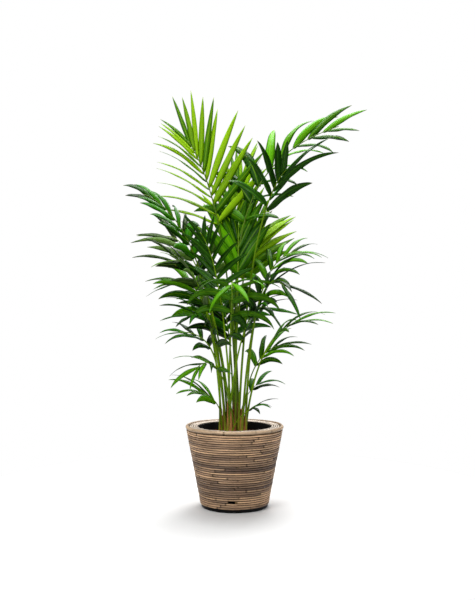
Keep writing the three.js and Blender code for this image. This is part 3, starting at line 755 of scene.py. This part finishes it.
def leaflets(frond, station, pick):
    """All the leaflets of a frond as one array of leaflets x rings x section points.

    A leaflet leaves the midrib at its splay, and falls towards straight down by droop times
    (share of its length) ^ 1.5, less so near the frond's tip. Its half-width is
    width / 2 * sqrt(u + 0.02) (1 - u) ^ 0.85 over that formula's peak, where u is the share of its
    length. Its two halves fold down from the midrib, most near the base. Each leaflet's angles,
    length, width and fall differ a little from the frond's rule. s is a leaflet's place along the
    blade, and hand its side, 0 for left and 1 for right.
    """
    pairs = frond["pairs"]
    count = 2 * pairs
    sign = np.repeat([-1.0, 1.0], pairs)
    hand = np.repeat([0, 1], pairs)
    s = np.tile((np.arange(pairs) / pairs) ** 0.93, 2)
    share = frond["blade"] + (1 - frond["blade"]) * (s + hand * 0.25 / pairs)
    at, along, up, side = station(share)
    roll, lift = np.radians(frond["roll"]), np.radians(frond["lift"])
    flat = side * np.cos(roll) + up * np.sin(roll)
    face = up * np.cos(roll) - side * np.sin(roll)
    first, last = frond["splay"]
    splay = np.radians(first + (last - first) * s**0.9 + pick.normal(0, 2.5, count))[:, None]
    raised = lift + np.radians(pick.normal(0, 4, count))[:, None]
    out = along * np.cos(splay)
    out = out + flat * sign[:, None] * np.cos(raised) * np.sin(splay)
    out = unit(out + face * np.sin(raised) * np.sin(splay))
    wide = unit(along - out * (along * out).sum(-1, keepdims=True)) * sign[:, None]
    turn = np.radians(np.array(frond["turn"])[hand] * (1 - s**3) + pick.normal(0, 9, count))
    wide = spun(wide, out, -sign * turn)
    length = np.array(frond["leaf"])[hand] * MM * (0.86 + 0.5 * s - 0.78 * s**2)
    length = length * (1 + 0.04 * pick.normal(size=count))
    width = frond["wide"] * MM * (1 - frond["taper"] * s) * (1 + 0.06 * pick.normal(size=count))
    fall = np.array(frond["droop"])[hand] * np.arccos((out @ DOWN).clip(-1, 1))
    fall = fall * (1 - 0.6 * s**4) * (1 + 0.18 * pick.normal(size=count))
    hinge = unit(np.cross(out, DOWN))

    u = np.linspace(0, 0.992, LEAF_RINGS)
    middle = (u[1:] + u[:-1]) / 2
    shape = (count, LEAF_RINGS, 3)
    hinges = np.broadcast_to(hinge[:, None], shape)
    outs = np.broadcast_to(out[:, None], shape)
    steps = spun(outs[:, 1:], hinges[:, 1:], fall[:, None] * middle**1.5)
    steps = steps * length[:, None, None] * np.diff(u)[:, None]
    line = at[:, None] + np.concatenate([np.zeros((count, 1, 3)), np.cumsum(steps, 1)], 1)
    ahead = spun(outs, hinges, fall[:, None] * u**1.5)
    broad = spun(np.broadcast_to(wide[:, None], shape), hinges, fall[:, None] * u**1.5)
    twist = np.radians(pick.normal(0, 14, count))[:, None] * u**1.3
    broad = spun(broad, ahead, twist)
    over = np.cross(ahead, broad)
    half = width[:, None] / 2 * np.sqrt(u + 0.02) * (1 - u) ** 0.85 / LEAF_PEAK
    fold = 0.55 * (1 - u) ** 4 + 0.2
    pleat = 0.06 * np.abs(np.sin(np.pi * ACROSS))
    wave = 0.10 * np.sin(2 * np.pi * (2.2 * u + pick.random((count, 1))))[..., None] * ACROSS
    tall = half[..., None] * (pleat - fold[:, None] * np.abs(ACROSS) + wave * np.abs(ACROSS))
    tall = tall + LEAF_THICK * SKIN
    points = line[:, :, None] + broad[:, :, None] * (half[..., None] * ACROSS)[..., None]
    points = points + over[:, :, None] * tall[..., None]
    grid = points.shape[:3]
    grain = stacked(ACROSS, u[:, None], np.broadcast_to(SKIN, grid))
    tone = np.broadcast_to(pick.random(count)[:, None, None], grid)
    return points, grain, tone


def leaf_finish(name, deep, fair, under, glow, through, gloss):
    """Palm leaflet: waxy and leathery, with a paler midrib and lengthwise veins.

    Its upper skin goes from deep to fair, its lower skin is under, and its tip is dry and brown.
    Light that comes through it turns to the colour glow, by the share through. The real veins are
    2 mm apart; they are drawn about 6 mm apart to show.
    """
    material, tree = blank(name)
    grain = node(tree, "Attribute", attribute_name="grain").outputs["Vector"]
    tone = node(tree, "Attribute", attribute_name="tone").outputs["Fac"]
    part = node(tree, "SeparateXYZ", [grain])
    across = node(tree, "Math", [part.outputs[0]], operation="ABSOLUTE").outputs[0]
    stretched = node(tree, "Mapping", {"Vector": grain, "Scale": (5.0, 3.0, 0.2)}).outputs[0]
    apart = node(tree, "Math", [tone, 40.0], operation="MULTIPLY").outputs[0]
    shift = node(tree, "CombineXYZ", {2: apart}).outputs[0]
    moved = node(tree, "VectorMath", [stretched, shift], operation="ADD").outputs[0]
    fibre = {"Vector": moved, "Scale": 1.0, "Detail": 4.0, "Roughness": 0.6}
    streak = node(tree, "TexNoise", fibre).outputs["Fac"]
    pleats = node(tree, "Math", [across, 3.5 * 2 * np.pi], operation="MULTIPLY").outputs[0]
    vein = node(tree, "Math", [pleats], operation="COSINE").outputs[0]
    blotch = node(tree, "Math", [tone, streak], operation="ADD").outputs[0]
    height = node(tree, "Math", [vein, streak], operation="ADD").outputs[0]

    paler = node(tree, "MapRange", [blotch, 0.65, 1.4], **EASED).outputs[0]
    veined = node(tree, "MapRange", [vein, -0.2, 1.0, 0.0, 0.14], **EASED).outputs[0]
    ridged = node(tree, "MapRange", [vein, -0.2, 1.0, 0.0, 0.25], **EASED).outputs[0]
    upward = node(tree, "MapRange", [part.outputs[2], -0.6, 0.2], **EASED).outputs[0]
    ribbed = node(tree, "MapRange", [across, 0.02, 0.14, 0.65, 0.0], **EASED).outputs[0]
    dried = node(tree, "MapRange", [part.outputs[1], 0.93, 1.0, 0.0, 0.7], **EASED).outputs[0]
    lower = node(tree, "Mix", {0: ridged, 6: linear(under), 7: linear(fair)}, **COLOURS)
    leaf = node(tree, "Mix", {0: paler, 6: linear(deep), 7: linear(fair)}, **COLOURS)
    leaf = node(tree, "Mix", {0: veined, 6: leaf.outputs[2], 7: linear(fair)}, **COLOURS)
    leaf = node(tree, "Mix", {0: upward, 6: lower.outputs[2], 7: leaf.outputs[2]}, **COLOURS)
    leaf = node(tree, "Mix", {0: ribbed, 6: leaf.outputs[2], 7: linear(glow)}, **COLOURS)
    leaf = node(tree, "Mix", {0: dried, 6: leaf.outputs[2], 7: linear("#8c7a3a")}, **COLOURS)

    bump = node(tree, "Bump", {"Height": height, "Strength": 0.35, "Distance": 0.0006}).outputs[0]
    waxy = node(tree, "MapRange", [streak, 0.3, 0.7, gloss, gloss + 0.16], **EASED).outputs[0]
    skin = {"Base Color": leaf.outputs[2], "Roughness": waxy, "IOR": 1.18, "Normal": bump}
    shader = node(tree, "BsdfPrincipled", skin)
    lit = node(tree, "BsdfTranslucent", {"Color": linear(glow), "Normal": bump})
    both = node(tree, "MixShader", [through, shader.outputs[0], lit.outputs[0]])
    node(tree, "OutputMaterial", {"Surface": both.outputs[0]})
    return material


AGES = {
    "spring": leaf_finish("spring_leaf", "#2a6402", "#94c40a", "#7c9a2c", "#a8d010", 0.34, 0.28),
    "summer": leaf_finish("summer_leaf", "#0f3a01", "#5aa404", "#447a12", "#7cb006", 0.24, 0.24),
    "shade": leaf_finish("shade_leaf", "#041a00", "#307602", "#22480c", "#4e8c04", 0.14, 0.22),
    "silver": leaf_finish("weathered_leaf", "#0f2804", "#5e8432", "#667c4c", "#74963a", 0.16, 0.28),
}

# Leaf stalk: smooth and round, yellow-green with fine lengthwise lines, yellower at its foot.
leaf_stalk, tree = blank("leaf_stalk")
grain = node(tree, "Attribute", attribute_name="grain").outputs["Vector"]
tone = node(tree, "Attribute", attribute_name="tone").outputs["Fac"]
along = node(tree, "SeparateXYZ", [grain]).outputs[1]
stretched = node(tree, "Mapping", {"Vector": grain, "Scale": (3.0, 14.0, 3.0)}).outputs[0]
line = node(tree, "TexNoise", {"Vector": stretched, "Scale": 1.0, "Detail": 4.0}).outputs["Fac"]
lined = node(tree, "MapRange", [line, 0.45, 0.75, 0.0, 0.6], **EASED).outputs[0]
footed = node(tree, "MapRange", [along, 0.0, 0.16, 0.75, 0.0], **EASED).outputs[0]
green = node(tree, "Mix", {0: tone, 6: linear("#163a02"), 7: linear("#84ae0c")}, **COLOURS)
green = node(tree, "Mix", {0: lined, 6: green.outputs[2], 7: linear("#143403")}, **COLOURS)
green = node(tree, "Mix", {0: footed, 6: green.outputs[2], 7: linear("#a8a838")}, **COLOURS)
bump = node(tree, "Bump", {"Height": line, "Strength": 0.3, "Distance": 0.0005}).outputs[0]
skin = {"Base Color": green.outputs[2], "Roughness": 0.32, "IOR": 1.3, "Normal": bump}
shader = node(tree, "BsdfPrincipled", skin)
node(tree, "OutputMaterial", {"Surface": shader.outputs[0]})

for number, given in enumerate(FRONDS):
    frond = {**USUAL, **given}
    pick = np.random.default_rng(300 + number)
    station = midrib(frond)
    stalk_points, stalk_grain = stalk(frond, station)
    points, grain, tone = leaflets(frond, station, pick)
    start = stalk_points[..., 0].size
    stalk_faces = tube(STALK_RINGS, STALK_SIDES)
    leaf_faces = after(start, tube(LEAF_RINGS, len(ACROSS), len(points)))
    name = frond["name"]
    piece(
        "palm_frond_" + name,
        np.concatenate([stalk_points.reshape(-1, 3), points.reshape(-1, 3)]),
        stalk_faces + leaf_faces,
        [AGES[frond["age"]], leaf_stalk],
        ["frond_" + name],
        "fresh_leaf" if frond["age"] == "spring" or name == "front" else "deep_leaf",
        finish_of=[1] * len(stalk_faces) + [0] * len(leaf_faces),
        grain=np.concatenate([stalk_grain.reshape(-1, 3), grain.reshape(-1, 3)]),
        tone=np.concatenate([np.full(start, pick.uniform(0.3, 1.0)), tone.ravel()]),
    )

# --- Studio --------------------------------------------------------------------------------------
# A plain pale floor under soft light: a large light overhead and a little behind, a key from the
# upper left front, a weaker fill from the right, one behind the leaves, and a white surround.
FLOOR_RADIUS = 1.15
floor_finish, tree = blank("white_floor")
shader = node(tree, "BsdfPrincipled", {"Base Color": linear("#e0e0e0"), "Roughness": 0.8})
node(tree, "OutputMaterial", {"Surface": shader.outputs[0]})
turn = np.linspace(0, 2 * np.pi, ROUND_SIDES, endpoint=False)
edge = stacked(FLOOR_RADIUS * np.cos(turn), FLOOR_RADIUS * np.sin(turn), 0.0)
mesh = bpy.data.meshes.new("floor")
mesh.from_pydata(edge, [], [list(range(ROUND_SIDES))])
mesh.materials.append(floor_finish)
floor = bpy.data.objects.new("floor", mesh)
bpy.context.collection.objects.link(floor)
floor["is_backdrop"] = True

AIM = np.array([0, 0, 0.9])
LIGHTS = {  # place in metres, size in metres, power in watts
    "overhead": ((0.0, 0.5, 3.2), 2.2, 150),
    "key": ((-1.7, -2.3, 2.6), 1.6, 70),
    "fill": ((2.4, -2.0, 1.4), 1.6, 14),
    "back": ((0.7, 2.2, 2.4), 1.6, 40),
}
for name, (place, size, power) in LIGHTS.items():
    lamp = bpy.data.lights.new(name, "AREA")
    lamp.shape = "DISK"
    lamp.size = size
    lamp.energy = power
    made = bpy.data.objects.new(name, lamp)
    made.location = place
    aim = AIM - place
    tilt = np.arctan2(np.hypot(aim[0], aim[1]), -aim[2])
    made.rotation_euler = (tilt, 0, np.arctan2(-aim[0], aim[1]))
    bpy.context.collection.objects.link(made)

# The surround is white where it is seen, and a dim even light on the palm and basket.
world = bpy.data.worlds.new("white_surround")
world.use_nodes = True
tree = world.node_tree
tree.nodes.clear()
seen = node(tree, "LightPath").outputs["Is Camera Ray"]
dim = node(tree, "Background", {"Color": linear("#ffffff"), "Strength": 0.3})
white = node(tree, "Background", {"Color": linear("#ffffff"), "Strength": 1.0})
both = node(tree, "MixShader", [seen, dim.outputs[0], white.outputs[0]])
node(tree, "OutputWorld", {"Surface": both.outputs[0]})
bpy.context.scene.world = world
bpy.context.scene.view_settings.view_transform = "Standard"

sizes = {"cad": [list(map(float, c)) for c in cad_box]}
sizes["visual"] = [list(map(float, c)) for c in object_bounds()]
